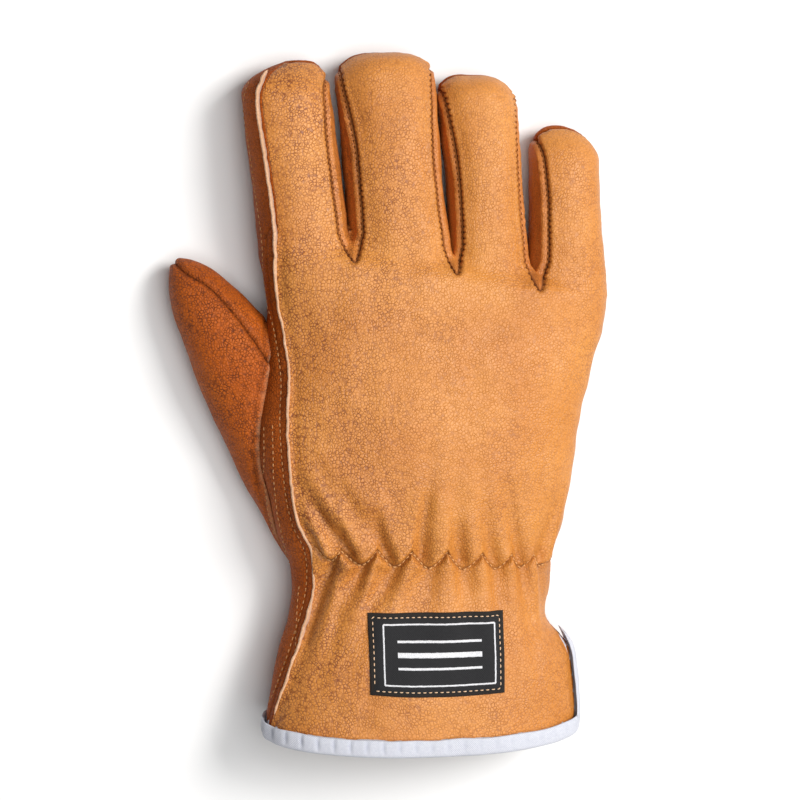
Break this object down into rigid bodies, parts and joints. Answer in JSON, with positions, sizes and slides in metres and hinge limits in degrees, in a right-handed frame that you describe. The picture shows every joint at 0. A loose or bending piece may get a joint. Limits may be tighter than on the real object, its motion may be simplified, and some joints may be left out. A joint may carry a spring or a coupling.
{
  "type": "insulated driver glove",
  "caption": "Right-hand insulated leather driver glove with a gathered wrist, a raised outer seam, a bound slit cuff and a bare woven patch.",
  "frame": {"origin": "middle of the glove's box, on the surface that it lies on", "axes": "+X to the little-finger side, +Y to the fingertips, +Z to the back of the hand"},
  "size_m": [0.16, 0.2506, 0.0459],
  "materials": {
    "back_leather": "pebbled tan grain leather, satin",
    "palm_leather": "pebbled brown grain leather, satin",
    "raw_edge": "raw cut edge, pale and dull",
    "binding_tape": "white woven tape",
    "woven_label": "black woven patch with a plain white frame and stripes"
  },
  "bodies": {
    "root": {"back_panel": "back_leather", "palm_panel": "palm_leather", "fourchette_index_middle": "palm_leather", "fourchette_middle_ring": "palm_leather", "fourchette_ring_little": "palm_leather", "thumb_outer": "back_leather", "thumb_inner": "palm_leather", "index_seam_welt": "raw_edge", "hem_binding": "binding_tape", "label_patch": "woven_label"}
  },
  "joints": []
}
